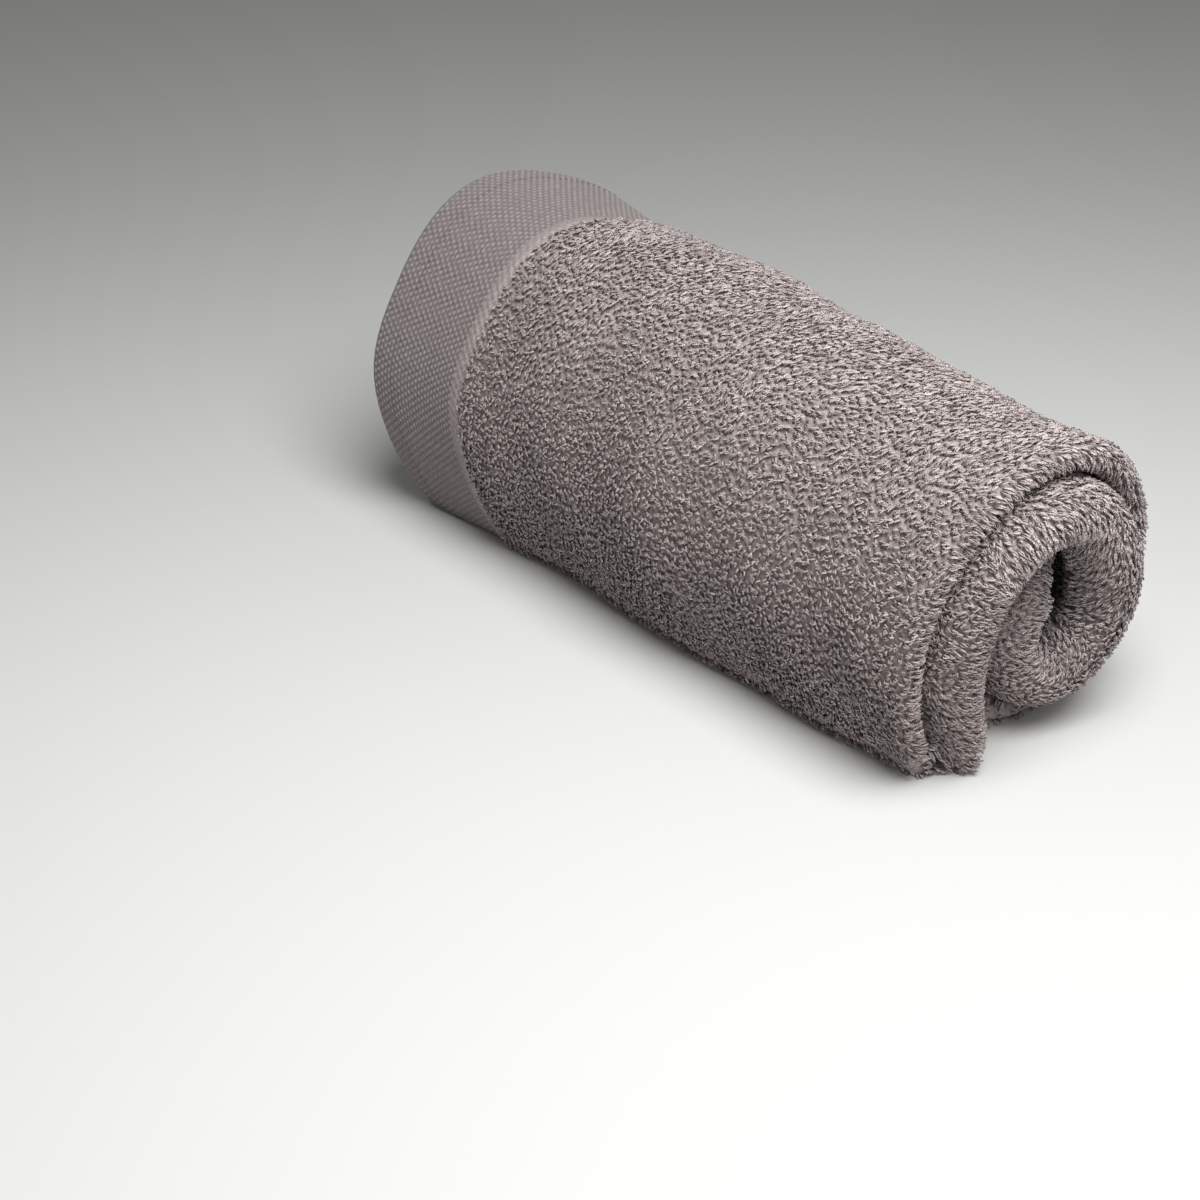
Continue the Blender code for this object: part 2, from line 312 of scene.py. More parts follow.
class Section:
    """A line across the towel for every step of the path, laid down piece by piece as (x, height)."""

    def __init__(self, path):
        self.path = path
        self.x = []
        self.height = []

    def run(self, start, end, height, steps, closed=False):
        """Straight along x from start to end. height is a number, a column or a function of x."""
        share = np.linspace(0.0, 1.0, steps + 1)[None, :]
        if not closed:
            share = share[:, :-1]
        x = start + (end - start) * share
        found = height(x) if callable(height) else height
        self.x.append(x + 0.0 * self.path.y)
        self.height.append(found + 0.0 * self.x[-1])

    def bend(self, x, height, radius, start, end, steps):
        """An arc about (x, height), its angles in degrees."""
        turn = np.radians(np.linspace(start, end, steps + 1))[None, :-1]
        self.x.append(x + radius * np.cos(turn) + 0.0 * self.path.y)
        self.height.append(height + radius * np.sin(turn) + 0.0 * self.path.y)

    def points(self, lowest):
        """The line's places on the roll, none nearer to the floor than lowest."""
        return place(self.path, np.concatenate(self.x, axis=1), np.concatenate(self.height, axis=1), lowest)


class Folds:
    """Where the folds lie at every step of a path, for a surface at some depth under the pile's tips."""

    def __init__(self, path, depth):
        self.path = path
        self.depth = depth
        self.far = FAR_X + path.far_shift
        self.pile_start = self.far + BAND_WIDTH
        self.outer_half = SLAB / 4 - LIP_GROOVE / 4
        self.inner_half = path.plump / 2 - LIP_GROOVE / 4
        self.outer_start = path.outer_lip - self.outer_half
        self.inner_start = path.inner_lip - self.inner_half
        self.outer_face = SLAB / 2 - depth
        self.outer_middle = SLAB / 2 - self.outer_half
        self.inner_middle = self.inner_half - path.plump
        self.groove_top = SLAB / 2 - 2 * self.outer_half + depth
        self.groove_bottom = 2 * self.inner_half - path.plump - depth
        self.middle_half = LAYER - HEM_GROOVE / 2

    def inner_face(self, x):
        """Height of the face towards the core, which swells at the inner fold."""
        swell = eased(1.0 - (self.inner_start - x) / PLUMP_RUN)
        return -SLAB / 2 - (self.path.plump - SLAB / 2) * swell + self.depth

    def settled(self, mouth, inside, start):
        """Height of a hidden layer: from its place at the mouth to its place further in."""
        return lambda x: mouth + (inside - mouth) * eased((start - x) / INNER_LAYER_EASE)


def cloth_section(path):
    """The towel from its outer hem, round its folds, to its inner hem."""
    at = Folds(path, MIDDLE)
    band_height = SLAB / 2 - BAND_STEP - CLOTH / 2
    under = band_height - 2 * HEM_BEND
    section = Section(path)
    section.run(at.far + HEM_FOLD, at.far + HEM_BEND, under, 3)
    section.bend(at.far + HEM_BEND, band_height - HEM_BEND, HEM_BEND, 270.0, 90.0, 6)
    section.run(at.far + HEM_BEND, at.pile_start, band_height, 14)
    section.run(at.pile_start, at.outer_start, at.outer_face, 42)
    section.bend(at.outer_start, at.outer_middle, at.outer_half - MIDDLE, 90.0, -90.0, 8)
    back = at.far + MIDDLE_FOLD_BACK + at.middle_half
    fold = at.middle_half - MIDDLE
    section.run(at.outer_start, back, at.settled(at.groove_top, fold, at.outer_start), 12)
    section.bend(back, 0.0, fold, 90.0, 270.0, 6)
    section.run(back, at.inner_start, at.settled(at.groove_bottom, -fold, at.inner_start), 12)
    section.bend(at.inner_start, at.inner_middle, at.inner_half - MIDDLE, 90.0, -90.0, 10)
    section.run(at.inner_start, at.inner_start - PLUMP_RUN, at.inner_face, 6)
    section.run(at.inner_start - PLUMP_RUN, at.pile_start, MIDDLE - SLAB / 2, 16)
    hem = at.far + INNER_HEM_BACK + HEM_BEND
    section.run(at.pile_start, hem, -band_height, 12)
    section.bend(hem, HEM_BEND - band_height, HEM_BEND, 270.0, 90.0, 6)
    section.run(hem, at.far + INNER_HEM_BACK + HEM_FOLD, -under, 3, closed=True)
    return section


class Surface:
    """A grid of points on the cloth, read between its points. Rows go along the winding, columns across."""

    def __init__(self, points):
        across = unit(np.gradient(points, axis=1))
        normal = unit(np.cross(across, np.gradient(points, axis=0)))
        self.points = points
        self.fields = np.concatenate([points, across, normal], axis=-1)

    def at(self, row, column):
        """Places, directions across, normals and directions along, at fractional rows and columns."""
        rows, columns = self.points.shape[:2]
        row = np.clip(row, 0, rows - LAST_CELL)
        column = np.clip(column, 0, columns - LAST_CELL)
        low_row, low_column = row.astype(int), column.astype(int)
        u, v = (row - low_row)[:, None], (column - low_column)[:, None]
        near = self.fields[low_row, low_column] * (1 - u) + self.fields[low_row + 1, low_column] * u
        far = self.fields[low_row, low_column + 1] * (1 - u) + self.fields[low_row + 1, low_column + 1] * u
        found = near * (1 - v) + far * v
        normal = unit(found[:, 6:9])
        along = unit(np.cross(normal, found[:, 3:6]))
        return found[:, 0:3], np.cross(along, normal), normal, along

    def spots(self, pitch, jitter, random):
        """Rows and columns of spots, one to a square of the pitch, every other line half a step on."""
        widths = np.linalg.norm(np.diff(self.points, axis=1), axis=2).mean(axis=0)
        reach = np.concatenate([[0.0], np.cumsum(widths)])
        lines = max(1, round(reach[-1] / pitch))
        found_rows, found_columns = [], []
        for line in range(lines):
            target = (line + 0.5) / lines * reach[-1]
            middle = np.interp(target, reach, np.arange(len(reach)))
            cell = min(int(middle), len(reach) - 2)
            share = middle - cell
            track = self.points[:, cell] * (1 - share) + self.points[:, cell + 1] * share
            length = np.concatenate([[0.0], np.cumsum(np.linalg.norm(np.diff(track, axis=0), axis=1))])
            count = max(1, round(length[-1] / pitch))
            shift = 0.25 + 0.5 * (line % 2)
            wanted = (np.arange(count) + shift + jitter * (random.random(count) - 0.5)) * length[-1] / count
            found_rows.append(np.interp(wanted, length, np.arange(len(length))))
            offset = jitter * (random.random(count) - 0.5) * pitch
            found_columns.append(np.interp(target + offset, reach, np.arange(len(reach))))
        return np.concatenate(found_rows), np.concatenate(found_columns)


def yarn_faces(points):
    """The faces of one closed length of yarn, and the share round and along it at each of their corners."""
    faces, corners = [], []
    for i in range(points - 1):
        for j in range(YARN_SIDES):
            k = (j + 1) % YARN_SIDES
            low, high = i * YARN_SIDES, (i + 1) * YARN_SIDES
            faces.append((low + j, high + j, high + k, low + k))
            corners += [(j, i), (j, i + 1), (j + 1, i + 1), (j + 1, i)]
    last = (points - 1) * YARN_SIDES
    faces.append(tuple(range(YARN_SIDES)))
    corners += [(j, 0) for j in range(YARN_SIDES)]
    faces.append(tuple(reversed(range(last, last + YARN_SIDES))))
    corners += [(j, points - 1) for j in reversed(range(YARN_SIDES))]
    return faces, np.array(corners, float) / (YARN_SIDES, points - 1)


def yarn_points(line, flat_way, radius):
    """Rings of points about many lines. flat_way is a direction for each line that it never runs along."""
    tangent = unit(np.gradient(line, axis=1))
    first = unit(np.cross(tangent, flat_way[:, None, :]))
    second = np.cross(tangent, first)
    turn = 2 * pi * np.arange(YARN_SIDES)[:, None] / YARN_SIDES
    ring = first[:, :, None, :] * np.cos(turn) + second[:, :, None, :] * np.sin(turn)
    points = line[:, :, None, :] + radius[:, None, None, None] * ring
    points[..., 2] = np.maximum(points[..., 2], LEAST_HEIGHT)
    return points.reshape(len(line), -1, 3)


def laid_lines(shape, roots, lean, side, up):
    """Bent lines at roots. shape is (points, 3) or (roots, points, 3), along each root's own axes."""
    shape = np.broadcast_to(shape, (len(roots), *shape.shape[-2:]))
    return (
        roots[:, None, :] + shape[..., 0:1] * lean[:, None, :]
        + shape[..., 1:2] * side[:, None, :] + shape[..., 2:3] * up[:, None, :]
    )


def joined(name, points, faces, maps):
    """One mesh object of many like pieces. points is (pieces, points, 3), and a map (pieces, corners, 2)."""
    pieces, size = points.shape[:2]
    shift = np.arange(pieces)[:, None, None] * size
    starts = np.concatenate([[0], np.cumsum([len(face) for face in faces])])
    everything, picked = [], []
    for sides in sorted({len(face) for face in faces}, reverse=True):
        members = [i for i, face in enumerate(faces) if len(face) == sides]
        same = np.array([faces[i] for i in members])
        everything += (shift + same[None]).reshape(-1, sides).tolist()
        picked.append(np.concatenate([np.arange(starts[i], starts[i + 1]) for i in members]))
    mesh = bpy.data.meshes.new(name)
    mesh.from_pydata(points.reshape(-1, 3), [], everything)
    for map_name, values in maps.items():
        layer = mesh.uv_layers.new(name=map_name)
        laid = np.concatenate([values[:, corners].reshape(-1, 2) for corners in picked])
        layer.uv.foreach_set("vector", laid.astype(np.float32).ravel())
    mesh.shade_smooth()
    piece = bpy.data.objects.new(name, mesh)
    bpy.context.scene.collection.objects.link(piece)
    return piece


def shades_of(tone, drift, rise):
    """The map of each piece's tone, and of how far each of its corners stands up."""
    return np.stack([
        tone[:, None] + TONE_DRIFT * drift[None], np.broadcast_to(rise, (len(tone), len(rise))),
    ], axis=-1)


def swirl(points):
    """Bends of the pile's lay, about -1 to 1."""
    x, y, z = points.T
    return sum(w.size * np.sin(w.x * x + w.y * y + w.z * z + w.start) for w in SWIRLS)


def settle(piece, material):
    """Gives a finished piece its finish and ties it to the frame."""
    piece.data.materials.append(material)
    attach(piece, "root")
    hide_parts(NODE)


class Value:
    """One socket of a material's nodes, written as a number in a sum."""

    def __init__(self, tree, socket):
        self.tree = tree
        self.socket = socket

    def maths(self, operation, *numbers):
        return node(self.tree, "ShaderNodeMath", {"operation": operation}, dict(enumerate(numbers)))

    def __add__(self, other):
        return self.maths("ADD", self, other)

    def __sub__(self, other):
        return self.maths("SUBTRACT", self, other)

    def __rsub__(self, other):
        return self.maths("SUBTRACT", other, self)

    def __mul__(self, other):
        return self.maths("MULTIPLY", self, other)

    __radd__ = __add__
    __rmul__ = __mul__

    def wave(self):
        """A sine that comes round once for every whole number."""
        return self.maths("SINE", self * (2 * pi))

    def between(self, low, high):
        """0 below low, 1 above high, smooth between."""
        return node(
            self.tree, "ShaderNodeMapRange", {"interpolation_type": "SMOOTHSTEP"},
            {"Value": self, "From Min": low, "From Max": high},
        )


def node(tree, kind, settings, sockets, output=0):
    """Adds a node. settings are set first, then each socket's value or link. A ramp's stops are a setting."""
    made = tree.nodes.new(kind)
    for name, value in settings.items():
        if name == "stops":
            ramp = made.color_ramp.elements
            while len(ramp) < len(value):
                ramp.new(1.0)
            for stop, (position, colour) in zip(ramp, value):
                stop.position, stop.color = position, colour
        else:
            setattr(made, name, value)
    for name, value in sockets.items():
        if isinstance(value, Value):
            tree.links.new(value.socket, made.inputs[name])
        else:
            made.inputs[name].default_value = value
    return Value(tree, made.outputs[output])


def mixed(tree, share, first, second):
    """A colour between two others."""
    return node(tree, "ShaderNodeMix", {"data_type": "RGBA"}, {0: share, 6: first, 7: second}, output=2)


def parts_of(tree, vector):
    """The first two numbers of a vector."""
    first = node(tree, "ShaderNodeSeparateXYZ", {}, {0: vector})
    return first, Value(tree, first.socket.node.outputs[1])


def map_of(tree, name):
    """The two numbers of a piece's own map."""
    return parts_of(tree, node(tree, "ShaderNodeUVMap", {"uv_map": name}, {}))


def noise(tree, scale, detail=2.0):
    """Fine fuzz that stays on the piece."""
    where = node(tree, "ShaderNodeTexCoord", {}, {}, output="Object")
    return node(tree, "ShaderNodeTexNoise", {}, {"Vector": where, "Scale": scale, "Detail": detail})


def shade(colour, by):
    """A colour made darker or lighter, with its alpha."""
    return (*(min(1.0, channel * by) for channel in colour[:3]), 1.0)


def toned(tree, tone, colour, tones):
    """A colour's shade by the tone of the yarn."""
    stops = [(position, shade(colour, by)) for position, by in tones]
    return node(tree, "ShaderNodeValToRGB", {"stops": stops}, {0: tone})


def cotton(name, colour, bump, bump_distance, sheen):
    """A matt cotton. colour and bump are functions of the node tree that give what the shader takes."""
    material = bpy.data.materials.new(name)
    material.use_nodes = True
    tree = material.node_tree
    shader = tree.nodes["Principled BSDF"]
    for socket, value in (
        ("Metallic", 0.0), ("Roughness", 0.92), ("Specular IOR Level", 0.2),
        ("Sheen Weight", sheen), ("Sheen Roughness", 0.5), ("Sheen Tint", (1.0, 0.94, 0.92, 1.0)),
    ):
        shader.inputs[socket].default_value = value
    tree.links.new(colour(tree).socket, shader.inputs["Base Color"])
    raised = node(tree, "ShaderNodeBump", {}, {"Distance": bump_distance, "Height": bump(tree)})
    tree.links.new(raised.socket, shader.inputs["Normal"])
    return material


def pile_material(look):
    """Looped cotton yarn with painted shade at the root, each loop of its own tone, with the twist of its
    plies.
    """

    def colour(tree):
        tone, rise = map_of(tree, "OFBake")
        lit = toned(tree, tone, look.colour, PILE_TONES)
        # painted shade from the root up the loop
        return mixed(tree, rise.between(*ROOT_SHADE_FADE), shade(look.colour, PAINTED_ROOT_SHADE), lit)

    def twist(tree):
        around, along = map_of(tree, "yarn")
        return (around + along * look.plies).wave()

    return cotton("terry_pile", colour, twist, TWIST_DEPTH, look.sheen)


def cloth_material(pile, border):
    """Ground cloth under the pile, darkened between the loops as painted shade, and the border's flat weave,
    darkened under its floats as painted shade. A map tells how far inside a border it is.
    """

    def colour(tree):
        inside, _ = map_of(tree, "weave")
        mottle = noise(tree, MOTTLE_SCALE, 3.0).between(*MOTTLE)
        # the ground between the loops and the cloth under the floats are darkened as painted shade
        ground, plain, under = (
            mixed(tree, mottle, shade(look.colour, low), shade(look.colour, high))
            for look, (low, high) in ((pile, GROUND_SHADE_TONES), (border, PLAIN_TONES), (border, UNDER_FLOAT_SHADE_TONES))
        )
        woven = inside.between(PLAIN_STRIP - STRIP_FADE, PLAIN_STRIP + STRIP_FADE)
        return mixed(tree, inside.between(-PILE_FADE, PILE_FADE), ground, mixed(tree, woven, plain, under))

    def weave(tree):
        across, along = map_of(tree, "threads")
        return across.wave() * along.wave() + noise(tree, WEAVE_FUZZ)

    return cotton("ground_cloth", colour, weave, WEAVE_DEPTH, border.sheen)


def border_material(border):
    """Fine flat yarns of the border's weave: threads along each float, with painted shade at its rim and its
    crown paler.
    """

    def colour(tree):
        tone, crown = map_of(tree, "OFBake")
        lit = toned(tree, tone, border.colour, FLOAT_TONES)
        # painted shade at the rim, fading towards the crown
        return mixed(tree, crown.between(*RIM_SHADE_FADE), shade(border.colour, PAINTED_RIM_SHADE), lit)

    def threads(tree):
        across, _ = map_of(tree, "yarn")
        return (across * border.threads).wave() * THREAD_SHARE + noise(tree, FLOAT_FUZZ)

    return cotton("border_cotton", colour, threads, FLOAT_DEPTH, border.sheen)


class TowelPile(bpy.types.PropertyGroup):
    """The looped pile."""

    pitch: FloatProperty(
        name="Pitch", description="Side of the square of cloth that each loop takes",
        default=0.00236, unit="LENGTH", precision=5,
    )
    yarn: FloatProperty(
        name="Yarn", description="Radius of the yarn",
        default=0.00041, unit="LENGTH", precision=5,
    )
    lay: FloatProperty(
        name="Lay", description="How far the loops turn up round the roll from its length",
        default=radians(22), subtype="ANGLE",
    )
    stray: FloatProperty(
        name="Stray", description="How far single loops stray from the lay",
        default=radians(15), subtype="ANGLE",
    )
    bends: FloatProperty(
        name="Bends", description="How far the lay swings over the cloth",
        default=radians(20), subtype="ANGLE",
    )
    roll: FloatProperty(
        name="Roll", description="How far loops turn over on their side",
        default=radians(27), subtype="ANGLE",
    )
    plies: FloatProperty(name="Plies", description="Turns of the twist along a loop", default=9.0)
    sheen: FloatProperty(
        name="Sheen", description="Soft light off the fibres",
        default=0.30, subtype="FACTOR",
    )
    seed: IntProperty(name="Seed", description="Start of the loops' scatter", default=7)
    colour: FloatVectorProperty(
        name="Colour", description="Dyed yarn",
        default=(0.585, 0.498, 0.486), subtype="COLOR", min=0.0, max=1.0,
    )


class TowelBorder(bpy.types.PropertyGroup):
    """The woven border and its hem."""

    column: FloatProperty(
        name="Column", description="Distance between two columns of floats",
        default=0.0023, unit="LENGTH", precision=4,
    )
    period: FloatProperty(
        name="Period", description="Distance between two floats of a column",
        default=0.0034, unit="LENGTH", precision=4,
    )
    relief: FloatProperty(
        name="Relief", description="How far a float stands off the cloth",
        default=0.0007, unit="LENGTH", precision=5,
    )
    stitch: FloatProperty(
        name="Stitch", description="Length of a stitch with its gap",
        default=0.0036, unit="LENGTH", precision=4,
    )
    threads: FloatProperty(name="Threads", description="Yarns side by side in a float", default=4.0)
    sheen: FloatProperty(
        name="Sheen", description="Soft light off the fibres",
        default=0.20, subtype="FACTOR",
    )
    seed: IntProperty(name="Seed", description="Start of the floats' scatter", default=11)
    colour: FloatVectorProperty(
        name="Colour", description="Flat woven cotton",
        default=(0.305, 0.266, 0.261), subtype="COLOR", min=0.0, max=1.0,
    )


class TowelStage(bpy.types.PropertyGroup):
    """Floor, lights and camera."""

    floor: FloatVectorProperty(
        name="Floor", description="Pale floor near the camera",
        default=(0.66, 0.665, 0.65), subtype="COLOR", min=0.0, max=1.0,
    )
    # the floor's painted shade in the distance
    far_floor_shade: FloatVectorProperty(
        name="Far floor", description="The floor's colour in the distance",
        default=(0.55, 0.56, 0.545), subtype="COLOR", min=0.0, max=1.0,
    )
    top_light: FloatProperty(
        name="Top light", description="Power of the soft overhead light",
        default=14.0, unit="POWER",
    )
    side_light: FloatProperty(
        name="Side light", description="Power of the soft light from the near end",
        default=2.0, unit="POWER",
    )
    sky: FloatProperty(name="Sky", description="Strength of the even light from all round", default=0.20)
    lens: FloatProperty(name="Lens", description="Focal length", default=60.84, unit="CAMERA")
    azimuth: FloatProperty(
        name="Azimuth", description="The camera's turn round the roll",
        default=radians(52.9), subtype="ANGLE",
    )
    elevation: FloatProperty(
        name="Elevation", description="The camera's angle above the floor",
        default=radians(30.0), subtype="ANGLE",
    )
    place: FloatVectorProperty(
        name="Place", description="Where the camera stands",
        default=(0.61344, -0.54629, 0.4742), subtype="TRANSLATION", precision=5,
    )


def cloth_maps(points, path, border):
    """The cloth's maps: how far inside a border and along the winding, and the count of threads each way."""
    steps = np.linalg.norm(np.diff(points, axis=1), axis=2).mean(axis=0)
    reach = np.concatenate([[0.0], np.cumsum(steps)])
    band = HEM_FOLD + BAND_WIDTH
    inside = np.maximum(band - reach, reach - (reach[-1] - band))
    along = np.broadcast_to(path.along, points.shape[:2])
    return reach[-1], {
        "weave": np.stack([np.broadcast_to(inside, points.shape[:2]), along], axis=-1),
        "threads": np.stack(
            [np.broadcast_to(reach / (2 * border.column), points.shape[:2]), along / border.period], axis=-1
        ),
    }


class TOWEL_OT_cloth(bpy.types.Operator):
    """Adds the towel's cloth: one sheet with its folds and hems, wound into the roll"""

    bl_idname = "towel.cloth"
    bl_label = "Cloth"

    def execute(self, context):
        border = context.scene.towel_border
        path = winding_path(STATIONS)
        points = cloth_section(path).points(LAID_DEPTH)
        rows, columns = points.shape[:2]
        width, maps = cloth_maps(points, path, border)
        corner = np.arange(rows * columns).reshape(rows, columns)
        near, far = corner[:-1], corner[1:]
        faces = np.stack([near[:, :-1], near[:, 1:], far[:, 1:], far[:, :-1]], axis=-1).reshape(-1, 4)
        mesh = bpy.data.meshes.new("towel_cloth")
        mesh.from_pydata(points.reshape(-1, 3), [], faces.tolist())
        for name, values in maps.items():
            layer = mesh.uv_layers.new(name=name)
            layer.uv.foreach_set("vector", values.reshape(-1, 2)[faces.ravel()].astype(np.float32).ravel())
        mesh.shade_smooth()
        cloth = bpy.data.objects.new("towel_cloth", mesh)
        context.scene.collection.objects.link(cloth)
        wall = cloth.modifiers.new("thickness", "SOLIDIFY")
        wall.thickness = CLOTH
        wall.offset = 0.0
        settle(cloth, cloth_material(context.scene.towel_pile, border))
        cloth["flat_width"] = float(path.along[-1, 0])
        cloth["flat_length"] = float(width)
        return {"FINISHED"}


def outer_surface(path, depth, lip_alone=False):
    """The outer face from the border, over the outer fold and into the groove, or the fold alone."""
    at = Folds(path, depth)
    section = Section(path)
    start, steps = (at.outer_start - LIP_FACE, 5) if lip_alone else (at.pile_start, 60)
    section.run(start, at.outer_start, at.outer_face, steps)
    section.bend(at.outer_start, at.outer_middle, at.outer_half - depth, 90.0, -90.0, 10)
    section.run(at.outer_start, at.outer_start - GROOVE_PILE, at.groove_top, 4, closed=True)
    return section.points(depth)


def inner_surface(path, depth):
    """From the groove, over the thick inner fold and down the inside of the roll."""
    at = Folds(path, depth)
    section = Section(path)
    section.run(at.outer_start - GROOVE_PILE, at.inner_start, at.groove_bottom, 6)
    section.bend(at.inner_start, at.inner_middle, at.inner_half - depth, 90.0, -90.0, 12)
    section.run(at.inner_start, at.inner_start - CORE_PILE, at.inner_face, 24, closed=True)
    return section.points(depth)


def toe_surface(path, depth):
    """The full pile that closes the crease between the two folds near the towel's edge on the floor."""
    at = Folds(path, depth)
    sunk = TOE_CREASE * eased((path.angle - TOE_CLOSED) / (TOE_OPEN - TOE_CLOSED))
    start, end = path.outer_lip - depth - sunk, path.inner_lip - depth - sunk

    def height(x):
        return at.outer_middle + (at.inner_middle - at.outer_middle) * (x - start) / (end - start)

    section = Section(path)
    section.run(start, end, height, 6, closed=True)
    return section.points(depth)


def middle_fold_surface(path, depth):
    """The fold between the two hems at the far end."""
    at = Folds(path, depth)
    back = at.far + MIDDLE_FOLD_BACK + at.middle_half
    half = at.middle_half - depth
    section = Section(path)
    section.run(back + MIDDLE_FACE, back, -half, 4)
    section.bend(back, 0.0, half, 270.0, 90.0, 8)
    section.run(back, back + MIDDLE_FACE, half, 4, closed=True)
    return section.points(depth)


def cut_edge_surface(path, station, facing, depth):
    """The rounded pile of the towel's side, at one end of the winding. Columns run along the roll."""
    step = steps_of(path, slice(station, station + 1))
    at = Folds(step, depth)
    x = np.linspace(0.0, 1.0, EDGE_STEPS)[None, :] * (at.outer_start - at.pile_start) + at.pile_start
    rows = []
    for turn in np.linspace(0.0, pi, EDGE_TURNS):
        shell = place(step, x, (SLAB / 2 - depth) * cos(turn) + 0.0 * x)
        shell[..., 1] += facing * step.out_z * EDGE_BULGE * sin(turn)
        shell[..., 2] -= facing * step.out_y * EDGE_BULGE * sin(turn)
        rows.append(shell[0])
    points = np.array(rows)
    points[..., 2] = np.maximum(points[..., 2], depth)
    return points if facing > 0 else points[:, ::-1]


Field = namedtuple("Field", "name points lay bends pitch_share")


def add_pile(look, field, random):
    """Loops all over a surface, in as many pieces as keep each one light."""
    surface = Surface(field.points)
    roots, across, up, along = surface.at(*surface.spots(look.pitch * field.pitch_share, LOOP_JITTER, random))
    keep = (roots[:, 2] > UNDER_HEIGHT) | (random.random(len(roots)) < UNDER_SHARE)
    roots, across, up, along = roots[keep], across[keep], up[keep], along[keep]
    count = len(roots)
    turn = field.lay + field.bends * swirl(roots) + look.stray * random.standard_normal(count)
    lean = across * np.cos(turn)[:, None] + along * np.sin(turn)[:, None]
    side = np.cross(up, lean)
    roll = look.roll * random.standard_normal(count)
    shape = LOOP * (LOOP_LEAST + LOOP_SPREAD * random.random((count, 1, 3)))
    shape[..., 2] += shape[..., 1] * np.sin(roll)[:, None]
    shape[..., 1] *= np.cos(roll)[:, None]
    shape += LOOP_WOBBLE * random.standard_normal(shape.shape)
    shape[..., 0] *= (PRESSED_REACH + (1.0 - PRESSED_REACH) * eased(roots[:, 2] / UNDER_HEIGHT))[:, None]
    line = laid_lines(shape, roots, lean, side, up)
    flat_way = up * np.cos(roll)[:, None] - side * np.sin(roll)[:, None]
    points = yarn_points(line, flat_way, look.yarn * (YARN_LEAST + YARN_SPREAD * random.random(count)))
    faces, corners = yarn_faces(len(LOOP))
    patches = TONE_PATCHES * swirl(roots * PATCH_SCALE)
    tone = np.clip(0.5 + TONE_SCATTER * random.standard_normal(count) + patches, *TONE_LIMITS)
    shades = shades_of(tone, corners[:, 0], 1.0 - np.abs(2.0 * corners[:, 1] - 1.0))
    yarn = np.broadcast_to(corners, (count, *corners.shape))
    pieces = []
    parts = max(1, -(-count // MOST_LOOPS))
    for part, chosen in enumerate(np.array_split(np.arange(count), parts)):
        name = field.name if parts == 1 else f"{field.name}_{part + 1}"
        pieces.append(joined(name, points[chosen], faces, {"OFBake": shades[chosen], "yarn": yarn[chosen]}))
    return pieces


class TOWEL_OT_pile(bpy.types.Operator):
    """Adds the loops of the pile wherever the towel shows them"""

    bl_idname = "towel.pile"
    bl_label = "Pile"

    def execute(self, context):
        look = context.scene.towel_pile
        random = np.random.default_rng(look.seed)
        path = winding_path(STATIONS)
        shown = np.flatnonzero(path.angle[:, 0] < OUTER_ANGLE)
        skin = steps_of(path, shown)
        covered = steps_of(path, np.arange(shown[-1], STATIONS))
        toe = steps_of(path, np.flatnonzero(path.angle[:, 0] < TOE_OPEN))
        side = pi / 2
        fields = (
            Field("pile_skin", outer_surface(skin, MID_PILE), look.lay, look.bends, 1.0),
            Field("pile_outer_fold", outer_surface(covered, MID_PILE, lip_alone=True), 0.2, 0.9, 1.0),
            Field("pile_inner_fold", inner_surface(path, MID_PILE), 0.1, 0.8, 1.0),
            Field("pile_toe", toe_surface(toe, MID_PILE), 0.3, 1.0, 0.9),
            Field("pile_middle_fold", middle_fold_surface(path, MID_PILE), 0.0, 1.2, 1.6),
            Field("pile_outer_edge", cut_edge_surface(path, 0, -1.0, MID_PILE), side, 0.8, 1.0),
            Field("pile_inner_edge", cut_edge_surface(path, STATIONS - 1, 1.0, MID_PILE), side, 0.8, 1.0),
        )
        finish = pile_material(look)
        for field in fields:
            for piece in add_pile(look, field, random):
                settle(piece, finish)
        return {"FINISHED"}


class Band:
    """The border's outer face, from the hem's edge to the pile."""

    def __init__(self, path):
        at = Folds(path, 0.0)
        section = Section(path)
        section.run(at.far + HEM_BEND, at.pile_start, SLAB / 2 - BAND_STEP, 24, closed=True)
        self.surface = Surface(section.points(CLOTH))
        rows, columns = self.surface.points.shape[:2]
        track = self.surface.points[:, columns // 2]
        self.rows = np.arange(rows)
        self.length = np.concatenate([[0.0], np.cumsum(np.linalg.norm(np.diff(track, axis=0), axis=1))])
        self.width = BAND_WIDTH - HEM_BEND
        self.columns = columns - 1

    def line(self, start, step, from_hem):
        """Rows and columns of evenly spaced places at one distance from the hem's edge."""
        places = np.arange(start, self.length[-1], step)
        column = from_hem / self.width * self.columns
        return np.interp(places, self.length, self.rows), np.full(len(places), column)


def float_pad():
    """One float of the weave, from -1 to 1 both ways with its height, and its faces."""
    steps = np.linspace(-1.0, 1.0, PAD_POINTS)
    across, along = np.meshgrid(steps, steps, indexing="ij")
    height = (1.0 + PAD_SUNK) * (1.0 - across**2) * (1.0 - along**2) ** 0.5 - PAD_SUNK
    shape = np.stack([
        across * (1.0 - PAD_TAPER * along**2), along * (1.0 - PAD_ROUNDING * across**2), height,
    ], axis=-1)
    faces = [
        (i * PAD_POINTS + j, (i + 1) * PAD_POINTS + j, (i + 1) * PAD_POINTS + j + 1, i * PAD_POINTS + j + 1)
        for i in range(PAD_POINTS - 1) for j in range(PAD_POINTS - 1)
    ]
    return shape.reshape(-1, 3), faces


